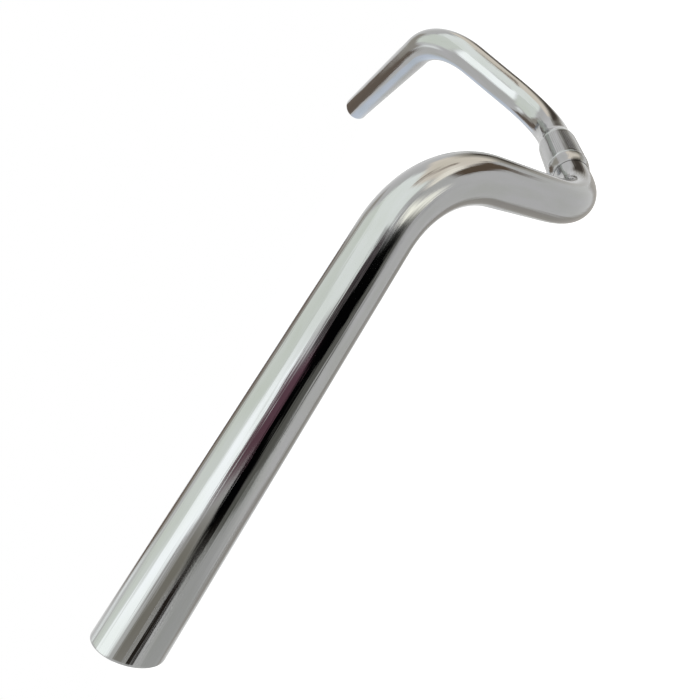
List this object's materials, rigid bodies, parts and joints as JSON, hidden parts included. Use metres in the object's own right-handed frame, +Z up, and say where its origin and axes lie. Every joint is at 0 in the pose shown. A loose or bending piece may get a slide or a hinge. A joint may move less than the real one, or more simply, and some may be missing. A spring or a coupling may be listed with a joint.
{
  "type": "bicycle handlebar",
  "caption": "Rising, swept-back bicycle handlebar: one bent chrome-plated steel tube with a thicker serrated clamp sleeve at its middle.",
  "frame": {"origin": "middle of the bar, on the clamp axis", "axes": "+X along the clamp axis to the rider's right, +Y forward, +Z up along the rise"},
  "size_m": [0.5328, 0.1489, 0.1426],
  "materials": {
    "chrome_tube": "bright chrome plate over a polished steel tube",
    "chrome_sleeve": "chrome plate over a serrated steel sleeve"
  },
  "bodies": {
    "root": {"bar_tube": "chrome_tube", "clamp_sleeve": "chrome_sleeve"}
  },
  "joints": []
}
